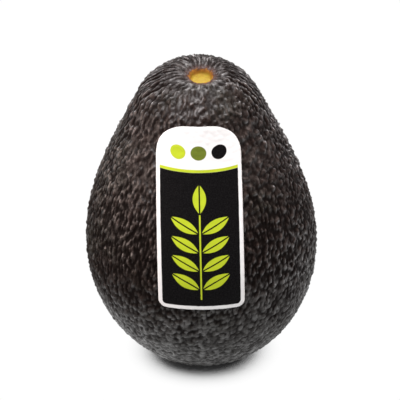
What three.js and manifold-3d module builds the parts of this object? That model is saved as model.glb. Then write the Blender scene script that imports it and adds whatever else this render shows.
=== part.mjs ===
// A whole avocado, pear-shaped and pebbled, standing on its blunt end, with a paper label on its front.
// Millimetres, +Z up. The origin is the centre of the flat spot that the fruit stands on, and the front
// faces -Y. The flesh, the skin and the stem scar grew as one piece, so they are one solid.

import * as THREE from "three";
import { ConvexHull } from "three/addons/math/ConvexHull.js";
import { mergeVertices } from "three/addons/utils/BufferGeometryUtils.js";
import Module from "manifold-3d";

// Fruit outline
const FRUIT_LENGTH = 96.1; // from the rest spot to the crest round the stem scar
const BELLY_RADIUS = 34.5; // to the middle of the pebbled skin
const BELLY_HEIGHT = 38.5;
const BELLY_REACH_DOWN = 19.6; // how far the belly keeps its width below and above its widest section
const BELLY_REACH_UP = 17.9;
const REST_SPOT_RADIUS = 9;
const REST_SLOPE = THREE.MathUtils.degToRad(19); // how steeply the skin leaves the rest spot
const REST_REACH = 15;
const SHOULDER_RADIUS = 17.6;
const SHOULDER_HEIGHT = 88.1;
const SHOULDER_SLOPE = THREE.MathUtils.degToRad(24); // inward from the vertical
const SHOULDER_REACH_DOWN = 17.5;
const SHOULDER_REACH_UP = 3.2;
const CREST_RADIUS = 7; // the crest is the ring of skin round the stem dimple
const CREST_REACH = 3.6;
const DIMPLE_DEPTH = 1.9;

// Lean of the stem end towards the front, as a bend of even curvature, and slant of the fruit to the left
const LEAN = THREE.MathUtils.degToRad(12);
const LEAN_START_HEIGHT = 43;
const SLANT = 0.02; // share of the height

// Stem scar
const SCAR_RADIUS = 4;
const SCAR_OFFSET = 1; // off the axis, to the right
const SCAR_DEPTH = 0.6; // below the bottom of the dimple
const SCAR_FLOOR_RADIUS = 2.6;
const SCAR_CUT_HEIGHT = 4; // of the cutter above the dimple, clear of the crest
const SCAR_SIDES = 28;

// Pebbles of the skin
const PEBBLE_COUNT = 1700;
const PEBBLE_PEAK = 0.55; // highest pebble, above the outline
const PEBBLE_PEAK_SPREAD = 0.35; // share by which the lowest pebble falls short of the highest
const PEBBLE_VALLEY = 0.45; // below the outline
const PEBBLE_SCATTER = 0.3; // share of the pitch
const PEBBLE_FADE_HEIGHT = 4; // the relief is pressed flat at the rest spot and full above this height
const STEM_CROWDING = 9; // makes the pebbles narrow ridges near the stem: added to the radius there
const STEM_CROWDING_REACH = 26; // arc length over which the crowding fades out
const RANDOM_SEED = 7;

// Label
const LABEL_WIDTH = 25;
const LABEL_HEIGHT = 58.5;
const LABEL_START = 54; // arc length from the rest spot's centre, up the front, to the label's lower edge
const LABEL_FOOT_CORNER = 2.5;
const LABEL_HEAD_CORNER = 10;
const LABEL_THICKNESS = 0.4;
const LABEL_GAP = 0.15; // over the pebbles that it lies on
const LABEL_CORNER_ROWS = 5;
const LABEL_STRAIGHT_ROWS = 18;
const LABEL_COLUMNS = 10;
const FRONT = -Math.PI / 2; // the label's angle round the axis

const OUTLINE_STEPS = 480;
const GOLDEN_ANGLE = Math.PI * (3 - Math.sqrt(5));

const SKIN = new THREE.MeshStandardMaterial({ color: 0x2f2826, roughness: 0.45, metalness: 0 });
const PAPER = new THREE.MeshStandardMaterial({ color: 0xf1f1ef, roughness: 0.5, metalness: 0 });

const wasm = await Module();
wasm.setup();

// Half of the fruit's section, from the axis at the rest spot to the axis at the stem: x is the radius
// and y the height.
function fruitOutline() {
  const dimpleHeight = FRUIT_LENGTH - DIMPLE_DEPTH;
  const path = new THREE.Path();
  path.moveTo(0, 0);
  path.lineTo(REST_SPOT_RADIUS, 0);
  path.bezierCurveTo(
    REST_SPOT_RADIUS + REST_REACH * Math.cos(REST_SLOPE),
    REST_REACH * Math.sin(REST_SLOPE),
    BELLY_RADIUS,
    BELLY_HEIGHT - BELLY_REACH_DOWN,
    BELLY_RADIUS,
    BELLY_HEIGHT,
  );
  path.bezierCurveTo(
    BELLY_RADIUS,
    BELLY_HEIGHT + BELLY_REACH_UP,
    SHOULDER_RADIUS + SHOULDER_REACH_DOWN * Math.sin(SHOULDER_SLOPE),
    SHOULDER_HEIGHT - SHOULDER_REACH_DOWN * Math.cos(SHOULDER_SLOPE),
    SHOULDER_RADIUS,
    SHOULDER_HEIGHT,
  );
  path.bezierCurveTo(
    SHOULDER_RADIUS - SHOULDER_REACH_UP * Math.sin(SHOULDER_SLOPE),
    SHOULDER_HEIGHT + SHOULDER_REACH_UP * Math.cos(SHOULDER_SLOPE),
    CREST_RADIUS + CREST_REACH,
    FRUIT_LENGTH,
    CREST_RADIUS,
    FRUIT_LENGTH,
  );
  path.bezierCurveTo(0.4 * CREST_RADIUS, FRUIT_LENGTH, 0.6 * CREST_RADIUS, dimpleHeight, 0, dimpleHeight);
  return path;
}

// Stations at even steps of arc length along the outline. Each has its radius and height, the outward
// normal, the crowding of the pebbles there, and the share of all the pebbles that lie below it.
function outlineStations() {
  const path = fruitOutline();
  const step = path.getLength() / OUTLINE_STEPS;
  const points = path.getSpacedPoints(OUTLINE_STEPS);
  let below = 0;
  const stations = points.map((point, i) => {
    const before = points[Math.max(i - 1, 0)];
    const after = points[Math.min(i + 1, OUTLINE_STEPS)];
    const along = after.clone().sub(before).normalize();
    const fromStem = (OUTLINE_STEPS - i) * step;
    const crowding = STEM_CROWDING * (1 - THREE.MathUtils.smoothstep(fromStem, 0, STEM_CROWDING_REACH));
    below += (point.x + crowding) * step;
    return { radius: point.x, height: point.y, out: new THREE.Vector2(along.y, -along.x), crowding, below };
  });
  stations.forEach((station) => (station.below /= below));
  return { stations, step };
}

const { stations, step: STATION_STEP } = outlineStations();

// The station at a fractional index.
function stationBetween(index) {
  const low = Math.min(Math.max(Math.floor(index), 0), OUTLINE_STEPS - 1);
  const [a, b] = [stations[low], stations[low + 1]];
  const mix = (key) => THREE.MathUtils.lerp(a[key], b[key], index - low);
  return {
    radius: mix("radius"),
    height: mix("height"),
    crowding: mix("crowding"),
    out: a.out.clone().lerp(b.out, index - low).normalize(),
  };
}

// The station that has the given share of the pebbles below it.
function stationAtShare(share) {
  const high = Math.max(
    stations.findIndex((station) => station.below >= share),
    1,
  );
  const [a, b] = [stations[high - 1], stations[high]];
  return stationBetween(high - 1 + (share - a.below) / (b.below - a.below));
}

// Slants the fruit, and bends its upper part, so that the stem end leans.
function lean(point) {
  point.x -= SLANT * point.z;
  if (point.z <= LEAN_START_HEIGHT) return point;
  const bendRadius = (FRUIT_LENGTH - LEAN_START_HEIGHT) / LEAN;
  const turn = (point.z - LEAN_START_HEIGHT) / bendRadius;
  const reach = bendRadius + point.y;
  point.y = reach * Math.cos(turn) - bendRadius;
  point.z = LEAN_START_HEIGHT + reach * Math.sin(turn);
  return point;
}

// A point of the skin at a station and an angle round the axis, lifted off the outline.
function skinPoint(station, angle, lift) {
  const radius = station.radius + lift * station.out.x;
  const height = station.height + lift * station.out.y;
  return lean(new THREE.Vector3(radius * Math.cos(angle), radius * Math.sin(angle), height));
}

// A seeded stream of numbers from 0 to 1.
function randomStream(seed) {
  let state = seed;
  return () => {
    state = (state + 0x6d2b79f5) | 0;
    let mixed = Math.imul(state ^ (state >>> 15), 1 | state);
    mixed = (mixed + Math.imul(mixed ^ (mixed >>> 7), 61 | mixed)) ^ mixed;
    return ((mixed ^ (mixed >>> 14)) >>> 0) / 4294967296;
  };
}

// Pebble centres as directions on a unit sphere: a golden-angle spiral, scattered.
function pebbleCentres(random) {
  const pitch = Math.sqrt((4 * Math.PI) / PEBBLE_COUNT);
  return Array.from({ length: PEBBLE_COUNT }, (_, i) => {
    const z = (2 * i + 1) / PEBBLE_COUNT - 1;
    const angle = i * GOLDEN_ANGLE;
    const ring = Math.sqrt(1 - z * z);
    const shift = () => (random() - 0.5) * 2 * PEBBLE_SCATTER * pitch;
    return new THREE.Vector3(
      ring * Math.cos(angle) + shift(),
      ring * Math.sin(angle) + shift(),
      z + shift(),
    ).normalize();
  });
}

// The point of the skin that a direction on the unit sphere stands for. Equal areas of the sphere hold
// equal shares of the pebbles. The lift is scaled down at the rest spot and on the narrow ridges.
function pebblePoint(direction, lift) {
  const station = stationAtShare((direction.z + 1) / 2);
  const pressed = THREE.MathUtils.smoothstep(station.height, 0, PEBBLE_FADE_HEIGHT);
  const narrow = station.radius / (station.radius + station.crowding);
  return skinPoint(station, Math.atan2(direction.y, direction.x), lift * pressed * Math.sqrt(narrow));
}

// A geometry from points and triples of their indices.
function facetedGeometry(points, triangles) {
  const geometry = new THREE.BufferGeometry().setFromPoints(points);
  geometry.setIndex(triangles.flat());
  return geometry;
}

// The whole skin: each pebble is a low faceted cone over its cell. The convex hull of the pebble centres
// gives their neighbours, and the middle of each hull triangle is a valley corner of three cells.
function pebbledSkin() {
  const random = randomStream(RANDOM_SEED);
  const centres = pebbleCentres(random);
  const centreIndex = new Map(centres.map((centre, i) => [centre, i]));
  const faces = new ConvexHull().setFromPoints(centres).faces;
  const faceIndex = new Map(faces.map((face, i) => [face, centres.length + i]));
  const peaks = centres.map((centre) =>
    pebblePoint(centre, PEBBLE_PEAK * (1 - PEBBLE_PEAK_SPREAD * random())),
  );
  const edgesOf = (face) => [0, 1, 2].map((i) => face.getEdge(i));
  const valleys = faces.map((face) => {
    const middle = new THREE.Vector3();
    edgesOf(face).forEach((edge) => middle.add(edge.head().point));
    return pebblePoint(middle.normalize(), -PEBBLE_VALLEY);
  });
  const triangles = faces.flatMap((face) =>
    edgesOf(face).map((edge) => [
      centreIndex.get(edge.tail().point),
      faceIndex.get(edge.twin.face),
      faceIndex.get(face),
    ]),
  );
  return facetedGeometry([...peaks, ...valleys], triangles);
}

// The space of the stem scar: a shallow dish at the bottom of the dimple, open upwards.
function scarCutter() {
  const profile = [
    [0, -SCAR_DEPTH],
    [SCAR_FLOOR_RADIUS, -SCAR_DEPTH],
    [SCAR_RADIUS, SCAR_DEPTH],
    [SCAR_RADIUS, SCAR_CUT_HEIGHT],
    [0, SCAR_CUT_HEIGHT],
  ];
  const cutter = new THREE.LatheGeometry(
    profile.map(([radius, height]) => new THREE.Vector2(radius, height)),
    SCAR_SIDES,
  );
  const dimple = lean(new THREE.Vector3(SCAR_OFFSET, 0, FRUIT_LENGTH - DIMPLE_DEPTH));
  const axis = lean(new THREE.Vector3(SCAR_OFFSET, 0, FRUIT_LENGTH)).sub(dimple).normalize();
  const turn = new THREE.Quaternion().setFromUnitVectors(new THREE.Vector3(0, 1, 0), axis);
  return cutter.applyQuaternion(turn).translate(dimple.x, dimple.y, dimple.z);
}

// A closed geometry as a solid that can be cut.
function solidOf(geometry) {
  const bare = geometry.clone();
  bare.deleteAttribute("normal");
  bare.deleteAttribute("uv");
  const merged = mergeVertices(bare);
  return new wasm.Manifold(
    new wasm.Mesh({
      numProp: 3,
      vertProperties: merged.attributes.position.array,
      triVerts: new Uint32Array(merged.index.array),
    }),
  );
}

// A cut solid as a geometry.
function geometryOf(solid) {
  const mesh = solid.getMesh();
  const geometry = new THREE.BufferGeometry();
  geometry.setAttribute("position", new THREE.BufferAttribute(mesh.vertProperties, 3));
  geometry.setIndex(new THREE.BufferAttribute(mesh.triVerts, 1));
  return geometry;
}

function fruit() {
  const cut = solidOf(pebbledSkin()).subtract(solidOf(scarCutter()));
  const geometry = geometryOf(cut);
  geometry.computeVertexNormals();
  const mesh = new THREE.Mesh(geometry, SKIN);
  mesh.name = "fruit";
  return mesh;
}

// Heights of the label's rows above its lower edge, close together where the corners curve.
function labelRows() {
  const rows = [];
  for (let i = 0; i < LABEL_CORNER_ROWS; i++) {
    const turn = (i / LABEL_CORNER_ROWS) * (Math.PI / 2);
    rows.push(LABEL_FOOT_CORNER * (1 - Math.cos(turn)));
  }
  const straight = LABEL_HEIGHT - LABEL_FOOT_CORNER - LABEL_HEAD_CORNER;
  for (let i = 0; i < LABEL_STRAIGHT_ROWS; i++) {
    rows.push(LABEL_FOOT_CORNER + (i / LABEL_STRAIGHT_ROWS) * straight);
  }
  for (let i = 0; i <= LABEL_CORNER_ROWS; i++) {
    const turn = (i / LABEL_CORNER_ROWS) * (Math.PI / 2);
    rows.push(LABEL_HEIGHT - LABEL_HEAD_CORNER * (1 - Math.sin(turn)));
  }
  return rows;
}

// Half of the label's width at a height above its lower edge, with the corners rounded.
function labelHalfWidth(up) {
  const rounding = (gap, radius) =>
    gap < radius ? radius - Math.sqrt(radius * radius - (radius - gap) ** 2) : 0;
  return (
    LABEL_WIDTH / 2 -
    rounding(up, LABEL_FOOT_CORNER) -
    rounding(LABEL_HEIGHT - up, LABEL_HEAD_CORNER)
  );
}

// A thin plate that follows the front of the fruit, just over the pebbles.
function label() {
  const rows = labelRows();
  const inside = PEBBLE_PEAK + LABEL_GAP;
  const across = LABEL_COLUMNS + 1;
  const layer = rows.length * across;
  const points = [inside, inside + LABEL_THICKNESS].flatMap((lift) =>
    rows.flatMap((up) => {
      const station = stationBetween((LABEL_START + up) / STATION_STEP);
      return Array.from({ length: across }, (_, column) => {
        const side = labelHalfWidth(up) * ((2 * column) / LABEL_COLUMNS - 1);
        return skinPoint(station, FRONT + side / station.radius, lift);
      });
    }),
  );
  const triangles = [];
  const quad = (a, b, c, d) => triangles.push([a, b, c], [a, c, d]);
  for (let row = 0; row + 1 < rows.length; row++) {
    for (let column = 0; column < LABEL_COLUMNS; column++) {
      const a = row * across + column;
      quad(a, a + across, a + across + 1, a + 1);
      quad(a + layer, a + layer + 1, a + layer + across + 1, a + layer + across);
    }
    const left = row * across;
    const right = left + LABEL_COLUMNS;
    quad(left, left + layer, left + layer + across, left + across);
    quad(right, right + across, right + across + layer, right + layer);
  }
  const top = (rows.length - 1) * across;
  for (let column = 0; column < LABEL_COLUMNS; column++) {
    quad(column, column + 1, column + 1 + layer, column + layer);
    quad(top + column, top + column + layer, top + column + 1 + layer, top + column + 1);
  }
  const geometry = facetedGeometry(points, triangles);
  geometry.computeVertexNormals();
  const mesh = new THREE.Mesh(geometry, PAPER);
  mesh.name = "label";
  return mesh;
}

const avocado = new THREE.Group();
avocado.add(fruit(), label());

export default avocado;
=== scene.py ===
"""Dresses a whole avocado: its pebbled skin with the stem scar, its paper label, and a white stage."""

import math
import random
from collections import namedtuple

import bpy
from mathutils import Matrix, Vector, noise as waves
from mathutils.geometry import interpolate_bezier
from mathutils.kdtree import KDTree


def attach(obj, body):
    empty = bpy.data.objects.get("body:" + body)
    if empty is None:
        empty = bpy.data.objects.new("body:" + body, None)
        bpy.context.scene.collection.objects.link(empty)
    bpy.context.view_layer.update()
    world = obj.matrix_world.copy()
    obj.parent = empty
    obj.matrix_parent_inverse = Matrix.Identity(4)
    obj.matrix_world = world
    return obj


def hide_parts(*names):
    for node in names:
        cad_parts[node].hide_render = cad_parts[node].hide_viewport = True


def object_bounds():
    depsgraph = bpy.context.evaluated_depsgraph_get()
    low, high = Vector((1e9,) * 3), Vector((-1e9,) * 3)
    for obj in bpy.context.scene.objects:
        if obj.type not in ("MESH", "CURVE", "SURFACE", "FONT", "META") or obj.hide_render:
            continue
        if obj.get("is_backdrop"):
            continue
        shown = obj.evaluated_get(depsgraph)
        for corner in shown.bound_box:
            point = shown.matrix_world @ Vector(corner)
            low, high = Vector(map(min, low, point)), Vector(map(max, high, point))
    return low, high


bl_info = {
    "name": "Avocado",
    "version": (1, 0, 0),
    "blender": (4, 5, 0),
    "location": "3D View > Sidebar > Avocado",
    "description": "Grows a pebbled avocado with a paper label and sets it on a white stage",
    "category": "Add Mesh",
}

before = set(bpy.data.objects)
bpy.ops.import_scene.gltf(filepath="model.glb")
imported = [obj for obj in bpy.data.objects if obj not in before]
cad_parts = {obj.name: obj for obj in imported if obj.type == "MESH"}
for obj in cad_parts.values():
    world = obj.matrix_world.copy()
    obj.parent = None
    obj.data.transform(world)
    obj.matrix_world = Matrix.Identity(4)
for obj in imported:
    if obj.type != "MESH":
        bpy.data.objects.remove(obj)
CAD_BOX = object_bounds()

FRUIT_BODY = "root"
SKIN_NODE = "fruit"
LABEL_NODE = "label"

# Names of what the meshes carry, and of the shader nodes that the skin and the label share
HEIGHT = "pebble_height"  # from 0 in the deepest valleys to 1 on the highest pebbles
CROWN = "pebble_crown"  # 0 in the valleys between the pebbles, which get painted shade, 1 on their waxy tops
TONE = "pebble_tone"  # one random number for each pebble
SCAR = "scar_reach"  # 0 at the middle of the stem scar, 1 at its rim
ROW = "outline_row"  # index of the outline's point that a vertex was turned from
PRINT = "print_place"  # the label's own map
BAKE_MAP = "OFBake"
GRAIN = "fine_grain"

# Outline and meshes, in metres where it is a size
FRONT = -math.pi / 2  # the label's angle round the axis
OUTLINE_ROWS = (6, 86, 72, 24, 8, 6, 5)  # rows of faces in each stretch, from the rest spot to the scar
CREST_LEVEL = 0.6  # how far the crest stays level, over its distance from the scar's rim
RIM_SLOPE = 0.3  # how far the dimple's slope reaches back from the rim, over the same distance
RIM_IN = 0.2  # how far the rim rounds over inwards, over the same distance
RIM_DOWN = 0.4  # how far it rounds over downwards, over the scar's depth
FLOOR_LEVEL = 0.0008  # how far the scar's floor stays level
START_SIZE = 0.001  # of the plane that is merged into the outline's first point
SAME_PLACE = 1e-6  # points that are closer than this are one
MAP_WIDTH = 0.98  # share of the bake map that the skin's full turn takes up
GRID_HALF = 0.5  # half of the label's flat grid before it is laid on the fruit

# Pebbles
HALF_WIDE = 0.56  # half of a pebble's width over its spacing round the fruit
HALF_LONG = 0.60  # half of a pebble's length over its spacing along the fruit
SIDED_WIDE = 0.5  # what a pebble gains in width over what it loses in length on one side of the fruit
BEAD_SIZES = (0.70, 1.35)  # smallest and largest pebble over the mean one
BEAD_HEIGHTS = (0.45, 1.0)  # lowest and highest pebble
BEAD_ROUND = 1.15  # power that rounds a pebble's crown
VALLEY_TONE = 0.5  # tone of the skin between the pebbles
RING_STEP = 0.85  # from ring to ring of pebbles over their length
RIDGE_STEP = 0.45  # the same for the ridges at the stem, which overlap more
FEWEST_AROUND = 6  # pebbles in the smallest ring
SCAR_RELIEF = 0.1  # share of the relief that is left in the scar

# Where an effect begins and where it is full, by how far back or forward a place lies, from -1 to 1
BEHIND = (-0.7, 0.1)  # back: the long, low pebbles behind the stem
NECK_SIDES = (-0.1, 0.95)  # forward: the lighter valleys, with less painted shade, and duller pebbles of the neck
NECK_FRONT = (0.3, 0.95)  # forward: the bare skin of the neck

# Where an effect begins and where it is full, by crown, tone, noise or reach from the scar's middle
COLOUR_RANGE = (0.20, 0.90)  # crown: from the painted shade of the valleys to the pebbles' colour
WAX_RANGE = (0.25, 0.90)  # crown: the wax
GLOSS_RANGE = (0.0, 0.7)  # crown: the smoother pebble tops
RUST_RANGE = (0.45, 1.0)  # tone: the warmer colour
BARE_RANGE = (0.42, 0.85)  # patch strength: the bare skin
OLIVE_RANGE = (0.50, 0.68)  # patch noise: the greener colour
RUB_RANGE = (0.40, 0.60)  # rub noise: the wax that isn't rubbed off
SCAR_FLECK_RANGE = (0.35, 0.75)  # fleck noise: the browner flecks in the scar
SCAR_WALL_RANGE = (0.50, 0.95)  # reach: the colour of the scar's wall
SCAR_RIM_RANGE = (0.86, 1.10)  # reach: the colour of its rim
SCAR_END_RANGE = (1.0, 1.45)  # reach: the colours of the skin round it
SCAR_WAX_RANGE = (0.95, 1.35)  # reach: the wax
SCAR_RELIEF_RANGE = (0.9, 1.3)  # reach: the relief
INK_RUB_RANGE = (0.3, 0.9)  # fibre noise: the ink that is rubbed off
FIBRE_GLOSS_RANGE = (0.2, 0.8)  # fibre noise: the rougher paper

# Noises of the finishes: cells per metre, and detail
PATCH_NOISE = (55.0, 3.0)  # olive patches, and the upper end of the creases
FLECK_NOISE = (1300.0, 3.0)  # flecks on the pebbles and in the scar
FINE_NOISE = (2200.0, 2.0)  # finest grain of the skin
RAGGED_NOISE = (800.0, 2.0)  # the scar's ragged rim
RUB_NOISE = (520.0, 3.0)  # rubbed wax
FIBRE_NOISE = (2600.0, 3.0)  # fibres of the paper
WANDER_SWING = 4  # swing of the patch noise over the wander of the creases
FLECK_SWING = 0.5  # swing of the crown with the flecks
RAGGED_SWING = 0.56  # swing of the scar's rim
SCAR_FLECK = 0.45  # strength of the flecks in the scar
FINE_SHARE = 0.5  # fine grain in the bumps over the flecks there
GRAIN_STRENGTH = 0.7  # of the skin's bumps
FIBRE_STRENGTH = 0.08  # of the paper's bumps
INK_BLUR = 0.00006  # half of the width of an ink's soft edge, in metres

# Stage, in metres: where the floor's painted glow begins and where it is full
NEAR_RANGE = (0.10, 0.06)  # from the middle of the glow close to the fruit
UNDER_RANGE = (0.025, 0.055)  # from the same middle: the way out of the fruit's shade
UNDER_GLOW = 0.62  # share of the glow in that shade
BACK_RANGE = (0.04, 0.12)  # behind the fruit
SIDE_RANGE = (0.06, 0.12)  # to the right of the fruit
PATCH_RANGE = (0.12, 0.05)  # from the middle of the patch on the right, to the front or the back
PATCH_MIDDLE = -0.03  # where that middle lies from front to back
DOME_RANGE = (0.2, 1.0)  # how steeply a direction points up, where the surround grows brighter
FLOOR_SIZE = 6  # side of the square floor
SHADOW_SAMPLES = 16  # rays that measure how open the sky is over the floor
LIGHT_AIM = (0, 0, 0.05)  # the point that every light faces

Station = namedtuple("Station", "radius height out_radius out_height along")
Bead = namedtuple("Bead", "angle along half_wide half_long turn tall tone")
Zones = namedtuple("Zones", "ridge shoulder low neck")
Lamp = namedtuple("Lamp", "name size place tint")

# Soft lights. A name is also the setting of the power, and a tint the setting of the colour.
LAMPS = (
    Lamp("key", 0.42, (-0.25, -0.45, 0.72), "white"),
    Lamp("top", 0.35, (0, 0.08, 0.65), "white"),
    Lamp("back", 0.25, (0, 0.40, 0.45), "white"),
    Lamp("left", 0.40, (-0.62, -0.10, 0.10), "warm"),
    Lamp("right", 0.40, (0.50, -0.10, 0.40), "warm"),
    Lamp("rim_left", 0.22, (-0.36, 0.50, 0.22), "white"),
    Lamp("rim_right", 0.22, (0.36, 0.50, 0.22), "white"),
)


def length(name, description, default):
    """A length in metres as a setting."""
    return bpy.props.FloatProperty(
        name=name, description=description, default=default, unit="LENGTH", precision=5
    )


def share(name, description, default):
    """A plain number as a setting."""
    return bpy.props.FloatProperty(name=name, description=description, default=default)


def turn(name, description, degrees):
    """An angle as a setting."""
    return bpy.props.FloatProperty(
        name=name, description=description, default=math.radians(degrees), unit="ROTATION"
    )


def colour(name, description, default):
    """A colour as a setting."""
    return bpy.props.FloatVectorProperty(
        name=name, description=description, default=default, size=3, subtype="COLOR", min=0, max=1
    )


def count(name, description, default):
    """A whole number as a setting."""
    return bpy.props.IntProperty(name=name, description=description, default=default)


class FruitShape(bpy.types.PropertyGroup):
    """Outline and lean of the fruit."""

    tall: length("Length", "From the rest spot to the crest round the stem scar", 0.0961)
    rest_radius: length("Rest spot", "Radius of the flat spot that the fruit stands on", 0.009)
    rest_slope: turn("Rest slope", "How steeply the skin leaves the rest spot", 19)
    rest_reach: length("Rest reach", "How far the skin keeps that slope", 0.015)
    belly_radius: length("Belly radius", "Radius at the widest section", 0.0345)
    belly_height: length("Belly height", "Height of the widest section", 0.0385)
    belly_reach_down: length("Belly reach down", "How far the width is kept below", 0.0196)
    belly_reach_up: length("Belly reach up", "How far the width is kept above", 0.0179)
    shoulder_radius: length("Shoulder radius", "Radius where the flank turns in to the top", 0.0176)
    shoulder_height: length("Shoulder height", "Height of that turn", 0.0881)
    shoulder_slope: turn("Shoulder slope", "Inward from the vertical", 24)
    shoulder_reach_down: length("Shoulder reach down", "How far the flank is straight", 0.0175)
    shoulder_reach_up: length("Shoulder reach up", "How fast the top rounds over", 0.0032)
    crest_radius: length("Crest radius", "Radius of the ring of skin round the dimple", 0.007)
    crest_reach: length("Crest reach", "How flat the crest is", 0.0036)
    scar_radius: length("Scar radius", "Radius of the stem scar's rim", 0.0035)
    scar_drop: length("Scar drop", "From the crest down to the scar's rim", 0.0011)
    scar_floor_radius: length("Scar floor radius", "Radius of the scar's floor", 0.0023)
    scar_depth: length("Scar depth", "From the rim down to the scar's floor", 0.0015)
    scar_offset: length("Scar offset", "Of the scar to the right of the axis", 0.001)
    lean: turn("Lean", "Of the stem end towards the front", 12)
    lean_start: length("Lean start", "Height where the lean begins", 0.043)
    slant: share("Slant", "Of the whole fruit to the left, as a share of the height", 0.02)


class SkinFinish(bpy.types.PropertyGroup):
    """Pebbles and colours of the skin."""

    columns: count("Columns", "Faces round the fruit", 480)
    seed: count("Seed", "Of the pebbles' scatter", 11)
    bead_wide: length("Pebble width", "From pebble to pebble round the fruit", 0.00112)
    bead_long: length("Pebble length", "From pebble to pebble along the fruit", 0.0024)
    stray_wide: share("Stray round", "Most that a pebble strays round the fruit, over its spacing", 0.27)
    stray_long: share("Stray along", "Most that a pebble strays along the fruit, over its spacing", 0.45)
    ragged: share("Ragged", "How uneven the pebbles' crowns are", 0.35)
    ragged_size: length("Ragged size", "Size of the dents in the pebbles' crowns", 0.0011)
    ridge_wide: length("Ridge width", "From ridge to ridge at the stem", 0.0014)
    ridge_long: length("Ridge length", "Of the ridges at the stem", 0.0042)
    ridge_flat: share("Ridge flat", "How much lower the ridges are than the pebbles", 0.5)
    # Lightens the painted shade in the valleys between the ridges, and waxes them
    ridge_fill: share("Ridge fill", "How much lighter the valleys between the ridges are", 0.40)
    ridge_start: length("Ridge start", "From the scar's middle to the longest ridges", 0.006)
    ridge_reach: length("Ridge reach", "From the scar's middle to the plain pebbles", 0.0115)
    shoulder_reach: length("Shoulder reach", "From the scar's middle to the shoulder's end", 0.034)
    shoulder_long: share("Shoulder long", "How much longer the pebbles behind the stem are", 0.9)
    shoulder_slim: share("Shoulder slim", "How much narrower the pebbles behind the stem are", 0.3)
    one_sided: share("One-sided", "How much longer the pebbles are on the left than on the right", 0.25)
    shoulder_flat: share("Shoulder flat", "How much lower the pebbles behind the stem are", 0.35)
    neck_wide: share("Neck wide", "How much wider the pebbles round the neck are", 0.62)
    neck_short: share("Neck short", "How much shorter the pebbles round the neck are", 0.33)
    # Lightens the painted shade in the valleys on the front of the neck, and waxes them
    neck_fill: share("Neck fill", "How much lighter the valleys on the front of the neck are", 0.66)
    neck_dull: share("Neck dull", "How much less wax the front of the neck has", 0.27)
    neck_start: length("Neck start", "Height where the pebbles begin to grow round", 0.058)
    neck_full: length("Neck full", "Height where they are roundest", 0.074)
    tilt: turn("Tilt", "Most that a pebble turns from upright", 12)
    crease_wide: length("Crease width", "From crease to crease round the blunt end", 0.0020)
    crease_long: length("Crease length", "From crease to crease along the blunt end", 0.0012)
    crease_flat: share("Crease flat", "How much lower the creases are than the pebbles", 0.48)
    # Lightens the painted shade in the valleys between the creases, and waxes them
    crease_fill: share("Crease fill", "How much lighter the valleys between the creases are", 0.46)
    crease_tilt: turn("Crease tilt", "Most that a crease turns from level", 30)
    crease_full: length("Crease height", "Below this height the pebbles are flat creases", 0.012)
    crease_end: length("Crease end", "Above this height the pebbles are plain", 0.050)
    wander: length("Wander", "How far the creases reach up here and there", 0.009)
    patch: length("Patch", "Size of the patches of bare skin between the pebbles", 0.0065)
    neck_bare: share("Neck bare", "How much more bare skin there is on the front of the neck", 0.60)
    bare_gaps: share("Bare gaps", "Share of the pebbles that is missing where the skin is bare", 0.35)
    # The bare skin has less painted shade in its valleys, and more wax
    bare_crown: share("Bare crown", "How waxy the bare skin is, from valley to pebble top", 0.55)
    relief: length("Relief", "From the valleys to the highest pebbles", 0.0009)
    sink: length("Sink", "Depth of the valleys below the outline", 0.0005)
    press_height: length("Press height", "The relief is pressed flat below this height", 0.004)
    # Painted shade: the valleys between the pebbles are darkened in colour
    valley_shade: colour("Valleys", "Colour between the pebbles", (0.0040, 0.0024, 0.0020))
    pebble: colour("Pebbles", "Colour of the pebbles", (0.0150, 0.0084, 0.0066))
    rust: colour("Rust", "Colour of the warmer pebbles", (0.0200, 0.0098, 0.0072))
    olive: colour("Olive", "Colour of the greener patches", (0.0145, 0.0115, 0.0075))
    blunt: colour("Blunt end", "Colour of the creases at the blunt end", (0.0108, 0.0092, 0.0074))
    scar_core: colour("Scar core", "Colour of the scar's floor", (0.245, 0.178, 0.021))
    scar_wall: colour("Scar wall", "Colour of the scar's wall", (0.205, 0.085, 0.015))
    scar_rim: colour("Scar rim", "Colour of the scar's rim", (0.040, 0.018, 0.014))
    roughness: share("Roughness", "Of the pebble tops", 0.42)
    valley_roughness: share("Valley roughness", "Of the skin between the pebbles", 0.62)
    shine: share("Shine", "Reflection of the bare skin", 0.045)
    wax: share("Wax", "Share of wax on the pebble tops", 1.0)
    dull_wax: share("Dull wax", "Share of that wax where it has rubbed off", 0.38)
    wax_index: share("Wax index", "Refractive index of the wax", 1.68)
    wax_roughness: share("Wax roughness", "Of the wax on the pebble tops", 0.33)
    fleck_squeeze: share("Fleck squeeze", "Width of the fine flecks over their height", 0.35)
    grain: length("Grain", "Depth of the fine grain", 0.00022)


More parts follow.
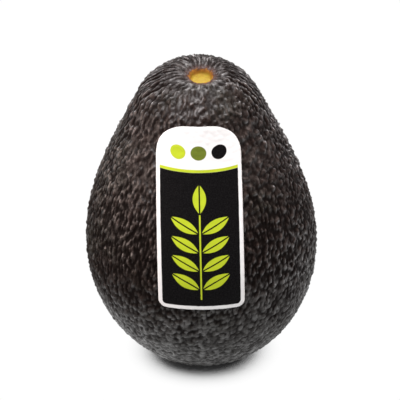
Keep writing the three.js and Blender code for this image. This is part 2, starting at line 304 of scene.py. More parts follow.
class LabelPaper(bpy.types.PropertyGroup):
    """Size and print of the label."""

    columns: count("Columns", "Faces across", 64)
    rows: count("Rows", "Faces along", 150)
    wide: length("Width", "Across the fruit", 0.025)
    high: length("Height", "Along the fruit", 0.0585)
    start: length("Start", "Arc length from the rest spot's centre to the lower edge", 0.054)
    foot_corner: length("Foot corner", "Radius of the lower corners", 0.0025)
    head_corner: length("Head corner", "Radius of the upper corners", 0.010)
    lift: length("Lift", "Of the paper over the fruit's outline", 0.00045)
    sag: length("Sag", "How far the paper dips between pebbles", 0.00010)
    thickness: length("Thickness", "Of the paper", 0.00014)
    border: length("Border", "Width of the white edge", 0.0012)
    paper: colour("Paper", "Colour of the white edge", (0.70, 0.705, 0.705))
    field: colour("Field", "Colour of the dark field", (0.0026, 0.0023, 0.0026))
    leaf: colour("Leaf", "Colour of the leaves", (0.40, 0.49, 0.022))
    half_ripe: colour("Half ripe", "Colour of the middle dot", (0.115, 0.150, 0.018))
    head_line: length("Head line", "Height of the white head above the lower edge", 0.0445)
    rule: length("Rule", "Width of the green line under the white head", 0.0009)
    dot_height: length("Dot height", "Height of the ripeness dots", 0.0505)
    dot_pitch: length("Dot pitch", "Distance from dot to dot", 0.0058)
    dot_radius: length("Dot radius", "Radius of a ripeness dot", 0.0022)
    sprig_start: length("Sprig start", "Height of the first pair of leaves", 0.0065)
    leaf_pitch: length("Leaf pitch", "Distance from pair to pair", 0.0062)
    leaf_pairs: count("Leaf pairs", "Pairs of leaves on the sprig", 4)
    leaf_length: length("Leaf length", "From the stalk to the leaf's tip", 0.0098)
    leaf_width: length("Leaf width", "Half of the leaf's widest part", 0.0021)
    leaf_lean: turn("Leaf lean", "Of the side leaves from the stalk", 58)
    vein: length("Vein", "Half of the stalk's width", 0.00022)
    wear: share("Wear", "Most ink that is rubbed off", 0.015)
    roughness: share("Roughness", "Of the smoothest paper", 0.36)
    fibre_roughness: share("Fibre roughness", "Of the roughest paper", 0.48)
    shine: share("Shine", "Reflection of the paper", 0.035)


class StageLight(bpy.types.PropertyGroup):
    """Camera, floor and lights."""

    elevation: turn("Elevation", "Of the camera above the horizon", 28)
    distance: length("Distance", "From the camera to the fruit", 0.7)
    lens: share("Lens", "Focal length in millimetres", 211)
    aim: bpy.props.FloatVectorProperty(
        name="Aim",
        description="Point at the middle of the picture",
        default=(-0.0012, 0.0014, 0.0506),
        unit="LENGTH",
    )
    floor: colour("Floor", "Colour of the floor and the surround", (1.0, 1.0, 1.0))
    # The bounce settings paint a glow into the floor that lights the fruit; the camera sees only white and
    # the painted shadow
    bounce: share("Bounce", "Light that the floor throws back on the fruit", 0.25)
    bounce_near: share("Bounce near", "The same close to the fruit", 1.25)
    bounce_shift: length("Bounce shift", "How far the light close to the fruit lies to the right", 0.026)
    bounce_back: share("Bounce back", "The same from the floor behind", 0.6)
    bounce_right: share("Bounce right", "The same from the patch on the right", 1.8)
    # The shadow settings paint the fruit's shadow into the floor's glow
    shadow_reach: length("Shadow reach", "How far the fruit darkens the floor", 0.008)
    shadow_dark: share("Shadow dark", "Open share of the sky where the floor is black", 0.24)
    shadow_rise: share("Shadow rise", "How fast the floor grows white from there", 6.0)
    shadow_fill: share("Shadow fill", "Light left in the darkest shadow", 0.02)
    surround: share("Surround", "Strength of the white surround", 0.13)
    overhead: share("Overhead", "Strength of the surround overhead", 1.0)
    key: share("Key", "Power of the soft light in front, in watts", 6.5)
    top: share("Top", "Power of the soft light above, in watts", 4.4)
    back: share("Back", "Power of the soft light behind, in watts", 2.2)
    left: share("Left", "Power of the soft light on the left, in watts", 3.9)
    right: share("Right", "Power of the soft light on the right, in watts", 1.6)
    rim_left: share("Rim left", "Power of the light behind on the left, in watts", 2.8)
    rim_right: share("Rim right", "Power of the light behind on the right, in watts", 2.2)
    white: colour("White", "Colour of the lights in front, above and behind", (1.0, 0.96, 0.97))
    warm: colour("Warm", "Colour of the lights on the sides", (1.0, 0.79, 0.71))


def outline(fruit):
    """Points of half the section, as (radius, height), from the rest spot's centre to the scar's."""
    crest = fruit.tall
    rim = crest - fruit.scar_drop
    floor = rim - fruit.scar_depth
    start = Vector((0, 0))
    rest = Vector((fruit.rest_radius, 0))
    leave = Vector((math.cos(fruit.rest_slope), math.sin(fruit.rest_slope))) * fruit.rest_reach
    belly = Vector((fruit.belly_radius, fruit.belly_height))
    belly_down = Vector((0, fruit.belly_reach_down))
    belly_up = Vector((0, fruit.belly_reach_up))
    shoulder = Vector((fruit.shoulder_radius, fruit.shoulder_height))
    flank = Vector((-math.sin(fruit.shoulder_slope), math.cos(fruit.shoulder_slope)))
    top = Vector((fruit.crest_radius, crest))
    edge = Vector((fruit.scar_radius, rim))
    fall = Vector((fruit.scar_radius - fruit.crest_radius, -fruit.scar_drop))
    down = Vector((0, fruit.scar_depth))
    foot = Vector((fruit.scar_floor_radius, floor))
    level = Vector((FLOOR_LEVEL, 0))
    end = Vector((0, floor))
    stretches = (
        (start, rest / 3, rest * 2 / 3, rest),
        (rest, rest + leave, belly - belly_down, belly),
        (belly, belly + belly_up, shoulder - flank * fruit.shoulder_reach_down, shoulder),
        (shoulder, shoulder + flank * fruit.shoulder_reach_up, top + Vector((fruit.crest_reach, 0)), top),
        (top, top + Vector((fall.x * CREST_LEVEL, 0)), edge - fall * RIM_SLOPE, edge),
        (edge, edge + fall * RIM_IN - down * RIM_DOWN, foot + level, foot),
        (foot, foot - level, end + level, end),
    )
    points = [start]
    for stretch, rows in zip(stretches, OUTLINE_ROWS):
        points += interpolate_bezier(*stretch, rows + 1)[1:]
    return points


def stations(points):
    """The outline's points with the outward normal and the arc length from the rest spot's centre."""
    along = 0.0
    found = []
    for i, point in enumerate(points):
        if i:
            along += (point - points[i - 1]).length
        way = (points[min(i + 1, len(points) - 1)] - points[max(i - 1, 0)]).normalized()
        found.append(Station(point.x, point.y, way.y, -way.x, along))
    return found


def station_at(line, along):
    """The station at an arc length, between its two neighbours."""
    after = next(i for i, station in enumerate(line) if station.along >= along and i)
    low, high = line[after - 1], line[after]
    mix = (along - low.along) / (high.along - low.along)
    return Station(*(a + (b - a) * mix for a, b in zip(low, high)))


def smooth(value, low, high):
    """0 below low, 1 above high, and an even S between."""
    t = min(max((value - low) / (high - low), 0), 1)
    return t * t * (3 - 2 * t)


def leaned(fruit, point):
    """Slants the fruit, and bends its upper part, so that the stem end leans to the front."""
    x = point.x - fruit.slant * point.z
    if point.z <= fruit.lean_start:
        return Vector((x, point.y, point.z))
    bend = (fruit.tall - fruit.lean_start) / fruit.lean
    angle = (point.z - fruit.lean_start) / bend
    reach = bend + point.y
    return Vector((x, reach * math.cos(angle) - bend, fruit.lean_start + reach * math.sin(angle)))


def zones(skin, line, station):
    """How far a station lies in the ridges, on the shoulder, at the blunt end and on the neck."""
    stem = line[-1].along - station.along
    ridge = 1 - smooth(stem, skin.ridge_start, skin.ridge_reach)
    shoulder = 1 - smooth(stem, skin.ridge_reach, skin.shoulder_reach)
    low = 1 - smooth(station.height, skin.crease_full, skin.crease_end)
    neck = smooth(station.height, skin.neck_start, skin.neck_full) * (1 - ridge)
    return Zones(ridge, shoulder, low, neck)


def bareness(skin, station, angle):
    """1 where smooth skin shows between the pebbles: in patches, most of all on the front of the neck."""
    patch = waves.noise(round_place(station, angle) / skin.patch)
    neck = smooth(station.height, skin.neck_start, skin.neck_full) * smooth(-math.sin(angle), *NECK_FRONT)
    return smooth(patch + skin.neck_bare * neck, *BARE_RANGE)


def blended(plain, ridge, crease, zone):
    """A size of the plain pebbles, changed towards the ridges and the creases."""
    return plain + (ridge - plain) * zone.ridge + (crease - plain) * zone.low


def bead_row(skin, draw, station, zone, wide, long, step):
    """One ring of scattered pebbles."""
    around = max(round(math.tau * station.radius / wide), FEWEST_AROUND)
    shift = draw.random()
    tilt = (skin.tilt + (skin.crease_tilt - skin.tilt) * zone.low) * (1 - zone.ridge)
    for i in range(around):
        angle = math.tau * (i + shift + draw.uniform(-1, 1) * skin.stray_wide) / around
        along = station.along + draw.uniform(-1, 1) * skin.stray_long * step
        sided = skin.one_sided * math.cos(angle) * (1 - zone.ridge) * (1 - zone.low)
        size = draw.uniform(*BEAD_SIZES)
        tall = draw.uniform(*BEAD_HEIGHTS) * (1 - skin.ridge_flat * zone.ridge)
        lean = draw.uniform(-1, 1) * tilt
        tone = draw.random()
        behind = zone.shoulder * (1 - zone.ridge) * smooth(math.sin(angle), *BEHIND)
        tall *= 1 - skin.shoulder_flat * behind
        half_wide = wide * HALF_WIDE * size * (1 + sided * SIDED_WIDE) * (1 - skin.shoulder_slim * behind)
        half_long = long * HALF_LONG * size * (1 - sided) * (1 + skin.shoulder_long * behind)
        if draw.random() > skin.bare_gaps * bareness(skin, station, angle):
            yield Bead(angle, along, half_wide, half_long, lean, tall, tone)


def bead_rows(skin, line):
    """Rings of pebbles up the fruit, which are creases at the blunt end and ridges at the stem."""
    draw = random.Random(skin.seed)
    along = skin.bead_long
    beads = []
    while along < line[-1].along - skin.ridge_wide:
        station = station_at(line, along)
        zone = zones(skin, line, station)
        wide = blended(skin.bead_wide, skin.ridge_wide, skin.crease_wide, zone)
        wide *= 1 + skin.neck_wide * zone.neck
        long = blended(skin.bead_long, skin.ridge_long, skin.crease_long, zone)
        long *= 1 - skin.neck_short * zone.neck
        step = long * (RING_STEP + (RIDGE_STEP - RING_STEP) * zone.ridge)
        beads += bead_row(skin, draw, station, zone, wide, long, step)
        along += step
    return beads


class Pebbles:
    """The pebbles of one fruit, found by place."""

    NEAR = 9  # pebbles that may reach one place

    def __init__(self, fruit, skin):
        self.line = stations(outline(fruit))
        self.beads = [bead for bead in bead_rows(skin, self.line) if bead.along < self.line[-1].along]
        self.tree = KDTree(len(self.beads))
        for i, bead in enumerate(self.beads):
            self.tree.insert(round_place(station_at(self.line, max(bead.along, 0)), bead.angle), i)
        self.tree.balance()

    def at(self, station, angle):
        """The height from 0 to 1 of the skin at a place, and the tone of the pebble there."""
        height, tone = 0.0, VALLEY_TONE
        for _, i, _ in self.tree.find_n(round_place(station, angle), self.NEAR):
            bead = self.beads[i]
            climb = station.along - bead.along
            across = station.radius * math.remainder(angle - bead.angle, math.tau)
            sine, cosine = math.sin(bead.turn), math.cos(bead.turn)
            wide = (across * cosine + climb * sine) / bead.half_wide
            long = (climb * cosine - across * sine) / bead.half_long
            part = 1 - wide * wide - long * long
            if part > 0:
                level = bead.tall * part**BEAD_ROUND
                if level > height:
                    height, tone = level, bead.tone
        return height, tone


def round_place(station, angle):
    """The point of the upright fruit at a station and an angle."""
    return Vector((station.radius * math.cos(angle), station.radius * math.sin(angle), station.height))


def feed(tree, node, **inputs):
    """Sets or links a node's inputs. An input named _3 is the fourth one."""
    for name, value in inputs.items():
        socket = node.inputs[int(name[1:]) if name[0] == "_" else name.replace("_", " ")]
        if isinstance(value, bpy.types.NodeSocket):
            tree.links.new(value, socket)
        else:
            socket.default_value = value


def add_node(tree, kind, settings=None, **inputs):
    """A node with its settings, and its inputs set or linked."""
    node = tree.nodes.new(kind)
    for name, value in (settings or {}).items():
        setattr(node, name, value)
    feed(tree, node, **inputs)
    return node


def maths(tree, operation, *values):
    """The result of a Math node."""
    inputs = {f"_{i}": value for i, value in enumerate(values)}
    return add_node(tree, "ShaderNodeMath", {"operation": operation}, **inputs).outputs[0]


def ramp(tree, value, low, high, start=0.0, end=1.0):
    """A value eased from start, at low, to end, at high."""
    node = add_node(
        tree,
        "ShaderNodeMapRange",
        {"interpolation_type": "SMOOTHSTEP"},
        Value=value,
        From_Min=low,
        From_Max=high,
        To_Min=start,
        To_Max=end,
    )
    return node.outputs["Result"]


def swing(tree, value, amount):
    """A noise turned into a swing of the amount given, half of it below zero."""
    return maths(tree, "MULTIPLY_ADD", value, amount, -amount / 2)


def noise(tree, place, scale, detail):
    """The value of a noise texture."""
    return add_node(tree, "ShaderNodeTexNoise", Vector=place, Scale=scale, Detail=detail).outputs[0]


def attribute(tree, name):
    """A number that the mesh carries."""
    return add_node(tree, "ShaderNodeAttribute", {"attribute_name": name}).outputs["Fac"]


def mix_colours(tree, factor, a, b):
    """Colour a, and colour b where the factor is 1."""
    return add_node(tree, "ShaderNodeMix", {"data_type": "RGBA"}, _0=factor, _6=a, _7=b).outputs[2]


def solid(rgb):
    """A colour setting with its alpha."""
    return (*rgb, 1.0)


def relief_group(relief, sink):
    """Geometry nodes that raise the pebbles from a smooth surface."""
    tree = bpy.data.node_groups.new("pebble_relief", "GeometryNodeTree")
    tree.interface.new_socket(name="Surface", in_out="INPUT", socket_type="NodeSocketGeometry")
    tree.interface.new_socket(name="Surface", in_out="OUTPUT", socket_type="NodeSocketGeometry")
    surface = tree.nodes.new("NodeGroupInput").outputs[0]
    named = add_node(tree, "GeometryNodeInputNamedAttribute", {"data_type": "FLOAT"}, Name=HEIGHT)
    normal = tree.nodes.new("GeometryNodeInputNormal").outputs[0]
    lift = maths(tree, "MULTIPLY_ADD", named.outputs[0], relief, -sink)
    offset = add_node(tree, "ShaderNodeVectorMath", {"operation": "SCALE"}, _0=normal, Scale=lift)
    raised = add_node(tree, "GeometryNodeSetPosition", Geometry=surface, Offset=offset.outputs[0])
    add_node(tree, "NodeGroupOutput", Surface=raised.outputs[0])
    return tree


def raise_pebbles(piece, relief, sink):
    """Applies the pebble relief to a piece."""
    only(piece)
    pebbles = piece.modifiers.new("Pebbles", "NODES")
    pebbles.node_group = relief_group(relief, sink)
    bpy.ops.object.modifier_apply(modifier=pebbles.name)


def empty_nodes(owner):
    """The emptied node tree of a material or a world."""
    owner.use_nodes = True
    owner.node_tree.nodes.clear()
    return owner.node_tree


def new_material(name):
    """A material with only its Principled shader and its output."""
    material = bpy.data.materials.new(name)
    tree = empty_nodes(material)
    shader = tree.nodes.new("ShaderNodeBsdfPrincipled")
    add_node(tree, "ShaderNodeOutputMaterial", Surface=shader.outputs[0])
    return material, tree, shader


def grain_group():
    """The shader nodes of a fine grain, built once: its height, and a mask of what it rubs."""
    shared = bpy.data.node_groups.get(GRAIN)
    if shared:
        return shared
    tree = bpy.data.node_groups.new(GRAIN, "ShaderNodeTree")
    tree.interface.new_socket(name="Place", in_out="INPUT", socket_type="NodeSocketVector")
    for name in ("Scale", "Detail", "Low", "High"):
        tree.interface.new_socket(name=name, in_out="INPUT", socket_type="NodeSocketFloat")
    for name in ("Height", "Mask"):
        tree.interface.new_socket(name=name, in_out="OUTPUT", socket_type="NodeSocketFloat")
    given = tree.nodes.new("NodeGroupInput").outputs
    height = noise(tree, given["Place"], given["Scale"], given["Detail"])
    mask = ramp(tree, height, given["Low"], given["High"])
    add_node(tree, "NodeGroupOutput", Height=height, Mask=mask)
    return tree


def grain(tree, place, size, rubbed):
    """The height of a fine grain in a material, and the mask of what it rubs."""
    values = dict(zip(("Scale", "Detail", "Low", "High"), (*size, *rubbed)))
    node = add_node(tree, "ShaderNodeGroup", {"node_tree": grain_group()}, Place=place, **values)
    return node.outputs["Height"], node.outputs["Mask"]


def pebble_colour(tree, skin, spot, crown):
    """Brown pebbles over valleys with painted shade: warmer here and there, olive in patches, grey at the
    blunt end.
    """
    patch = noise(tree, spot, *PATCH_NOISE)
    rust = ramp(tree, attribute(tree, TONE), *RUST_RANGE)
    brown = mix_colours(tree, rust, solid(skin.pebble), solid(skin.rust))
    mixed = mix_colours(tree, ramp(tree, patch, *OLIVE_RANGE), brown, solid(skin.olive))
    _, _, rise = add_node(tree, "ShaderNodeSeparateXYZ", Vector=spot).outputs
    rise = maths(tree, "ADD", rise, swing(tree, patch, skin.wander * WANDER_SWING))
    low = ramp(tree, rise, skin.crease_end, skin.crease_full)
    mixed = mix_colours(tree, low, mixed, solid(skin.blunt))
    # Painted shade: the valleys take the darker colour, the pebble tops their own
    return mix_colours(tree, ramp(tree, crown, *COLOUR_RANGE), solid(skin.valley_shade), mixed)


def scar_colour(tree, skin, fleck, reach):
    """Yellow flesh, browner in flecks and up the wall, with a dark rim."""
    wall = ramp(tree, reach, *SCAR_WALL_RANGE)
    inside = mix_colours(tree, wall, solid(skin.scar_core), solid(skin.scar_wall))
    flecked = ramp(tree, fleck, *SCAR_FLECK_RANGE, 0.0, SCAR_FLECK)
    flesh = mix_colours(tree, flecked, inside, solid(skin.scar_wall))
    return mix_colours(tree, ramp(tree, reach, *SCAR_RIM_RANGE), flesh, solid(skin.scar_rim))


def skin_material(skin):
    """Dark skin with wax on its pebbles and painted shade in its valleys, and the stem scar."""
    material, tree, shader = new_material("avocado_skin")
    spot = add_node(tree, "ShaderNodeTexCoord").outputs["Object"]
    squeeze = (1, 1, skin.fleck_squeeze)
    drawn_out = add_node(tree, "ShaderNodeVectorMath", {"operation": "MULTIPLY"}, _0=spot, _1=squeeze)
    fleck = noise(tree, drawn_out.outputs[0], *FLECK_NOISE)
    fine, _ = grain(tree, spot, FINE_NOISE, RUB_RANGE)
    _, kept = grain(tree, spot, RUB_NOISE, RUB_RANGE)
    crown = attribute(tree, CROWN)
    uneven = maths(tree, "ADD", crown, swing(tree, fleck, FLECK_SWING))
    ragged = swing(tree, noise(tree, spot, *RAGGED_NOISE), RAGGED_SWING)
    reach = maths(tree, "ADD", attribute(tree, SCAR), ragged)
    scar = scar_colour(tree, skin, fleck, reach)
    pebbled = pebble_colour(tree, skin, spot, uneven)
    finished = mix_colours(tree, ramp(tree, reach, *SCAR_END_RANGE), scar, pebbled)
    bumps = maths(tree, "MULTIPLY_ADD", fine, FINE_SHARE, fleck)
    bump = add_node(tree, "ShaderNodeBump", Strength=GRAIN_STRENGTH, Distance=skin.grain, Height=bumps)
    waxy = ramp(tree, uneven, *WAX_RANGE, 0.0, skin.wax)
    waxy = maths(tree, "MULTIPLY", waxy, ramp(tree, reach, *SCAR_WAX_RANGE))
    waxy = maths(tree, "MULTIPLY", waxy, maths(tree, "MULTIPLY_ADD", kept, 1 - skin.dull_wax, skin.dull_wax))
    feed(
        tree,
        shader,
        Base_Color=finished,
        Roughness=ramp(tree, crown, *GLOSS_RANGE, skin.valley_roughness, skin.roughness),
        Specular_IOR_Level=skin.shine,
        Normal=bump.outputs[0],
        Coat_Weight=waxy,
        Coat_Roughness=skin.wax_roughness,
        Coat_IOR=skin.wax_index,
        Coat_Normal=bump.outputs[0],
    )
    return material


def label_material(label):
    """Coated paper: a white edge and head, ripeness dots, and a sprig of plain leaves on a dark field."""
    material, tree, shader = new_material("label_print")
    mapped = add_node(tree, "ShaderNodeUVMap", {"uv_map": PRINT}).outputs[0]
    across, up, _ = add_node(tree, "ShaderNodeSeparateXYZ", Vector=mapped).outputs
    beside = maths(tree, "ABSOLUTE", across)
    inside = inside_border(tree, label, beside, up)
    dark = maths(tree, "MULTIPLY", inside, below(tree, up, label.head_line))
    rule = band(tree, up, label.head_line, label.head_line + label.rule)
    green = maths(tree, "MAXIMUM", sprig(tree, label, beside, up), maths(tree, "MULTIPLY", inside, rule))
    ink = mix_colours(tree, dark, solid(label.paper), solid(label.field))
    ink = mix_colours(tree, green, ink, solid(label.leaf))
    rise = maths(tree, "SUBTRACT", up, label.dot_height)
    for i, tint in enumerate((label.leaf, label.half_ripe, label.field)):
        side = maths(tree, "SUBTRACT", across, (i - 1) * label.dot_pitch)
        dot = below(tree, hypotenuse(tree, side, rise), label.dot_radius)
        ink = mix_colours(tree, dot, ink, solid(tint))
    fibre, rubbed = grain(tree, mapped, FIBRE_NOISE, INK_RUB_RANGE)
    worn = mix_colours(tree, maths(tree, "MULTIPLY", rubbed, label.wear), ink, solid(label.paper))
    bump = add_node(tree, "ShaderNodeBump", Strength=FIBRE_STRENGTH, Distance=label.thickness, Height=fibre)
    feed(
        tree,
        shader,
        Base_Color=worn,
        Roughness=ramp(tree, fibre, *FIBRE_GLOSS_RANGE, label.roughness, label.fibre_roughness),
        Specular_IOR_Level=label.shine,
        Normal=bump.outputs[0],
    )
    return material


def below(tree, value, limit):
    """1 where a value is below a limit, with a soft edge."""
    return ramp(tree, value, limit + INK_BLUR, limit - INK_BLUR)


def band(tree, value, low, high):
    """1 where a value is between two limits."""
    return maths(tree, "SUBTRACT", below(tree, value, high), below(tree, value, low))


def hypotenuse(tree, a, b):
    """The length of a flat vector."""
    square = maths(tree, "ADD", maths(tree, "MULTIPLY", a, a), maths(tree, "MULTIPLY", b, b))
    return maths(tree, "SQRT", square)


def inside_border(tree, label, beside, up):
    """1 inside the white edge, with the label's own rounded corners."""
    middle = label.high / 2
    rise = maths(tree, "SUBTRACT", up, middle)
    corner = maths(tree, "GREATER_THAN", rise, 0.0)
    corner = maths(tree, "MULTIPLY_ADD", corner, label.head_corner - label.foot_corner, label.foot_corner)
    past_side = maths(tree, "ADD", maths(tree, "SUBTRACT", beside, label.wide / 2), corner)
    past_end = maths(tree, "ADD", maths(tree, "SUBTRACT", maths(tree, "ABSOLUTE", rise), middle), corner)
    outer = hypotenuse(tree, maths(tree, "MAXIMUM", past_side, 0.0), maths(tree, "MAXIMUM", past_end, 0.0))
    inner = maths(tree, "MINIMUM", maths(tree, "MAXIMUM", past_side, past_end), 0.0)
    edge = maths(tree, "SUBTRACT", maths(tree, "ADD", outer, inner), corner)
    return below(tree, edge, -label.border)


def leaf(tree, label, side, rise, lean):
    """A pointed leaf that starts at the place given and leans outwards."""
    sine, cosine = math.sin(lean), math.cos(lean)
    along = maths(tree, "ADD", maths(tree, "MULTIPLY", side, sine), maths(tree, "MULTIPLY", rise, cosine))
    off = maths(tree, "SUBTRACT", maths(tree, "MULTIPLY", side, cosine), maths(tree, "MULTIPLY", rise, sine))
    off = maths(tree, "ABSOLUTE", off)
    part = maths(tree, "MULTIPLY", along, 1 / label.leaf_length)
    swell = maths(tree, "MULTIPLY", part, maths(tree, "SUBTRACT", 1.0, part))
    # The swell is a quarter at the middle of the leaf
    half = maths(tree, "MULTIPLY_ADD", swell, 4 * label.leaf_width, -label.vein)
    blade = below(tree, maths(tree, "SUBTRACT", off, half), 0.0)
    return maths(tree, "MULTIPLY", blade, maths(tree, "SUBTRACT", 1.0, below(tree, off, label.vein)))


def sprig(tree, label, beside, up):
    """Pairs of leaves up a stalk, with one more leaf at its tip."""
    foot = label.sprig_start
    tip = foot + label.leaf_pairs * label.leaf_pitch
    climb = maths(tree, "SUBTRACT", up, foot)
    rise = maths(tree, "FLOORED_MODULO", climb, label.leaf_pitch)
    pairs = leaf(tree, label, maths(tree, "SUBTRACT", beside, label.vein), rise, label.leaf_lean)
    pairs = maths(tree, "MULTIPLY", pairs, band(tree, up, foot, tip))
    last = leaf(tree, label, beside, maths(tree, "SUBTRACT", up, tip), 0.0)
    stalk = band(tree, up, foot - label.leaf_pitch / 2, tip)
    stalk = maths(tree, "MULTIPLY", stalk, below(tree, beside, label.vein))
    return maths(tree, "MAXIMUM", maths(tree, "MAXIMUM", pairs, last), stalk)


def only(piece):
    """Makes a piece the one selected and active object."""
    bpy.ops.object.select_all(action="DESELECT")
    piece.select_set(True)
    bpy.context.view_layer.objects.active = piece


def own_attribute(mesh, name, values):
    """Stores one number for each vertex."""
    mesh.attributes.new(name, "FLOAT", "POINT").data.foreach_set("value", values)


def turned_skin(points, columns):
    """Draws the outline by extruding one vertex, and turns it round the axis into a closed skin."""
    bpy.ops.object.select_all(action="DESELECT")
    bpy.ops.mesh.primitive_plane_add(size=START_SIZE, location=(0, 0, 0))
    piece = bpy.context.object
    bpy.ops.object.mode_set(mode="EDIT")
    bpy.ops.mesh.select_all(action="SELECT")
    bpy.ops.mesh.merge(type="CENTER")
    for before, after in zip(points, points[1:]):
        step = after - before
        bpy.ops.mesh.extrude_vertices_move(TRANSFORM_OT_translate={"value": (step.x, 0, step.y)})
    bpy.ops.object.mode_set(mode="OBJECT")
    rows = [nearest_row(points, vertex.co) for vertex in piece.data.vertices]
    own_attribute(piece.data, ROW, rows)
    turning = piece.modifiers.new("Turn", "SCREW")
    turning.steps = turning.render_steps = columns
    turning.use_merge_vertices = True
    turning.merge_threshold = SAME_PLACE
    turning.use_smooth_shade = True
    bpy.ops.object.modifier_apply(modifier=turning.name)
    bpy.ops.object.mode_set(mode="EDIT")
    bpy.ops.mesh.select_all(action="SELECT")
    bpy.ops.mesh.remove_doubles(threshold=SAME_PLACE)
    bpy.ops.mesh.normals_make_consistent(inside=False)
    bpy.ops.object.mode_set(mode="OBJECT")
    return piece


def nearest_row(points, place):
    """Index of the outline's point that a vertex of the drawn outline stands on."""
    drawn = Vector((place.x, place.z))
    return min(range(len(points)), key=lambda i: (points[i] - drawn).length_squared)


def lay_out_pebbles(piece, fruit, skin, pebbles):
    """Stores the height, crown and tone of the pebbles at each vertex, and its reach from the scar."""
    mesh = piece.data
    line = pebbles.line
    rim = next(station for station in reversed(line) if station.radius >= fruit.scar_radius)
    stem = line[-1].along
    flat = skin.sink / skin.relief
    found = {HEIGHT: [], CROWN: [], TONE: [], SCAR: []}
    for vertex, row in zip(mesh.vertices, mesh.attributes[ROW].data):
        station = line[round(row.value)]
        angle = math.atan2(vertex.co.y, vertex.co.x)
        place = round_place(station, angle)
        crown, tone = pebbles.at(station, angle)
        crown = min(crown * (1 + skin.ragged * waves.noise(place / skin.ragged_size)), 1)
        wander = skin.wander * waves.noise(place / skin.patch)
        zone = zones(skin, line, station._replace(height=station.height + wander))
        height = flat + (crown - flat) * (1 - skin.crease_flat * zone.low)
        reach = (stem - station.along) / (stem - rim.along)
        pressed = SCAR_RELIEF + (1 - SCAR_RELIEF) * smooth(reach, *SCAR_RELIEF_RANGE)
        pressed *= smooth(station.height, 0, skin.press_height)
        patch = skin.bare_crown * bareness(skin, station, angle)
        neck = zone.neck * smooth(-math.sin(angle), *NECK_SIDES)
        # The fills raise the crown in the valleys: less painted shade and more wax there
        fills = (skin.crease_fill * zone.low, skin.ridge_fill * zone.ridge, skin.neck_fill * neck)
        bare = max(patch, *fills)
        found[HEIGHT].append(flat + (height - flat) * pressed)
        waxy = (crown + (1 - crown) * bare) * (1 - skin.neck_dull * neck)
        found[CROWN].append(waxy)
        found[TONE].append(tone)
        found[SCAR].append(reach)
    for name, values in found.items():
        own_attribute(mesh, name, values)


def bend_skin(piece, fruit):
    """Moves the scar off the axis and leans the fruit."""
    for vertex in piece.data.vertices:
        radius = math.hypot(vertex.co.x, vertex.co.y)
        if vertex.co.z > fruit.belly_height:
            vertex.co.x += fruit.scar_offset * (1 - smooth(radius, fruit.scar_radius, fruit.shoulder_radius))
        vertex.co = leaned(fruit, vertex.co)


def unroll(piece, line):
    """Maps the skin for baking: the angle round the axis across, and the arc length up."""
    mesh = piece.data
    row_of = mesh.attributes[ROW].data
    uv = mesh.uv_layers.new(name=BAKE_MAP).data
    tall = line[-1].along
    for face in mesh.polygons:
        corners = [(mesh.vertices[mesh.loops[loop].vertex_index].co, loop) for loop in face.loop_indices]
        middle = math.atan2(sum(place.y for place, _ in corners), sum(place.x for place, _ in corners))
        for place, loop in corners:
            angle = math.atan2(place.y, place.x) if place.xy.length > SAME_PLACE else middle
            angle -= math.tau * round((angle - middle) / math.tau)
            row = round(row_of[mesh.loops[loop].vertex_index].value)
            uv[loop].uv = (0.5 + angle / math.tau * MAP_WIDTH, line[row].along / tall)


class AVOCADO_OT_skin(bpy.types.Operator):
    """Grows the pebbled skin with the stem scar"""

    bl_idname = "avocado.skin"
    bl_label = "Grow skin"

    def execute(self, context):
        fruit, skin = context.scene.avocado_fruit, context.scene.avocado_skin
        pebbles = Pebbles(fruit, skin)
        piece = turned_skin(outline(fruit), skin.columns)
        piece.name = piece.data.name = "avocado_skin"
        lay_out_pebbles(piece, fruit, skin, pebbles)
        unroll(piece, pebbles.line)
        raise_pebbles(piece, skin.relief, skin.sink)
        bend_skin(piece, fruit)
        for name in (ROW, HEIGHT):
            piece.data.attributes.remove(piece.data.attributes[name])
        piece.data.materials.append(skin_material(skin))
        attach(piece, FRUIT_BODY)
        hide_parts(SKIN_NODE)
        return {"FINISHED"}


def corner_cut(gap, radius):
    """How far a rounded corner cuts in, at a gap from the end."""
    return radius - math.sqrt(radius**2 - (radius - gap) ** 2) if gap < radius else 0


def label_half_width(label, up):
    """Half of the label's width at a height above its lower edge, with the corners rounded."""
    foot = corner_cut(up, label.foot_corner)
    head = corner_cut(label.high - up, label.head_corner)
    return label.wide / 2 - foot - head


def lay_label(piece, fruit, skin, label):
    """Rounds the flat grid's corners, crowds its rows there, maps its print, and lays it on the fruit."""
    mesh = piece.data
    pebbles = Pebbles(fruit, skin)
    flat = []
    for vertex in mesh.vertices:
        even = vertex.co.y + GRID_HALF
        crowded = (1 + math.sin(math.pi * vertex.co.y)) / 2
        up = label.high * (crowded + even) / 2
        flat.append((label_half_width(label, up) * vertex.co.x / GRID_HALF, up))
    uv = mesh.uv_layers.new(name=PRINT).data
    for loop in mesh.loops:
        uv[loop.index].uv = flat[loop.vertex_index]
    for vertex, (side, up) in zip(mesh.vertices, flat):
        station = station_at(pebbles.line, label.start + up)
        angle = FRONT + side / station.radius
        height, _ = pebbles.at(station, angle)
        lift = label.lift + label.sag * height
        radius = station.radius + lift * station.out_radius
        rise = station.height + lift * station.out_height
        vertex.co = leaned(fruit, Vector((radius * math.cos(angle), radius * math.sin(angle), rise)))


